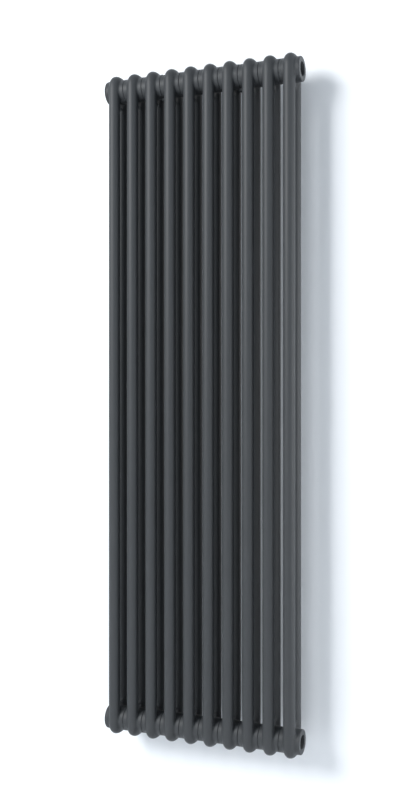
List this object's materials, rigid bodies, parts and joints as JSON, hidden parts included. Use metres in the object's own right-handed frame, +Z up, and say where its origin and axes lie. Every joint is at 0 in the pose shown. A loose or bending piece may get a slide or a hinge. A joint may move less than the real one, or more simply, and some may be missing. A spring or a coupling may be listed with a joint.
{
  "type": "tubular radiator",
  "caption": "Tall two-column tubular steel radiator hung on hidden wall brackets, with open threaded pipe connections at one end and an air vent at the other.",
  "frame": {"origin": "on the wall plane, in the middle of the four wall-screw holes", "axes": "+X along the row towards the open pipe connections, +Y back to the wall, +Z up along the tubes; the front faces -Y"},
  "size_m": [0.4687, 0.108, 1.53],
  "materials": {
    "anthracite_paint": "satin anthracite grey powder coat with a fine orange-peel texture",
    "black_rubber": "matt black rubber",
    "nickel_brass": "nickel-plated brass, turned",
    "white_seal_plastic": "white soft seal",
    "black_plastic": "matt black moulded plastic",
    "zinc_steel": "bright zinc-plated steel"
  },
  "bodies": {
    "radiator": {"upper_head_1": "anthracite_paint", "upper_head_2": "anthracite_paint", "upper_head_3": "anthracite_paint", "upper_head_4": "anthracite_paint", "upper_head_5": "anthracite_paint", "upper_head_6": "anthracite_paint", "upper_head_7": "anthracite_paint", "upper_head_8": "anthracite_paint", "upper_head_9": "anthracite_paint", "upper_head_10": "anthracite_paint", "lower_head_1": "anthracite_paint", "lower_head_2": "anthracite_paint", "lower_head_3": "anthracite_paint", "lower_head_4": "anthracite_paint", "lower_head_5": "anthracite_paint", "lower_head_6": "anthracite_paint", "lower_head_7": "anthracite_paint", "lower_head_8": "anthracite_paint", "lower_head_9": "anthracite_paint", "lower_head_10": "anthracite_paint", "front_tube_1": "anthracite_paint", "front_tube_2": "anthracite_paint", "front_tube_3": "anthracite_paint", "front_tube_4": "anthracite_paint", "front_tube_5": "anthracite_paint", "front_tube_6": "anthracite_paint", "front_tube_7": "anthracite_paint", "front_tube_8": "anthracite_paint", "front_tube_9": "anthracite_paint", "front_tube_10": "anthracite_paint", "rear_tube_1": "anthracite_paint", "rear_tube_2": "anthracite_paint", "rear_tube_3": "anthracite_paint", "rear_tube_4": "anthracite_paint", "rear_tube_5": "anthracite_paint", "rear_tube_6": "anthracite_paint", "rear_tube_7": "anthracite_paint", "rear_tube_8": "anthracite_paint", "rear_tube_9": "anthracite_paint", "rear_tube_10": "anthracite_paint", "upper_left_boss": "anthracite_paint", "lower_left_boss": "anthracite_paint", "upper_right_boss": "anthracite_paint", "lower_right_boss": "anthracite_paint", "vent_washer": "black_rubber", "blanking_washer": "black_rubber", "vent_plug": "anthracite_paint", "blanking_plug": "anthracite_paint", "upper_bracket_left": "anthracite_paint", "upper_bracket_right": "anthracite_paint", "lower_bracket_left": "anthracite_paint", "lower_bracket_right": "anthracite_paint", "upper_pads": "black_plastic", "lower_pads": "black_plastic", "anti_lift_hooks": "zinc_steel", "hook_screws": "zinc_steel"},
    "seal": {"vent_seal": "white_seal_plastic"},
    "screw": {"bleed_screw": "nickel_brass"},
    "nozzle": {"vent_nozzle": "black_plastic"}
  },
  "joints": [
    {"name": "seal_travel", "type": "slide", "parent": "radiator", "child": "seal", "axis": [-1, 0, 0], "range_m": [0, 0.0015]},
    {"name": "bleed_turn", "type": "hinge", "parent": "seal", "child": "screw", "pos_m": [-0.23, -0.074, 0.715], "axis": [-1, 0, 0], "range_deg": [0, 540]},
    {"name": "nozzle_swivel", "type": "hinge", "parent": "radiator", "child": "nozzle", "pos_m": [-0.2345, -0.074, 0.715], "axis": [-1, 0, 0], "continuous": true}
  ],
  "couplings": [
    {"joint": "bleed_turn", "follows": "seal_travel", "rad_per_m": 6283.2}
  ]
}
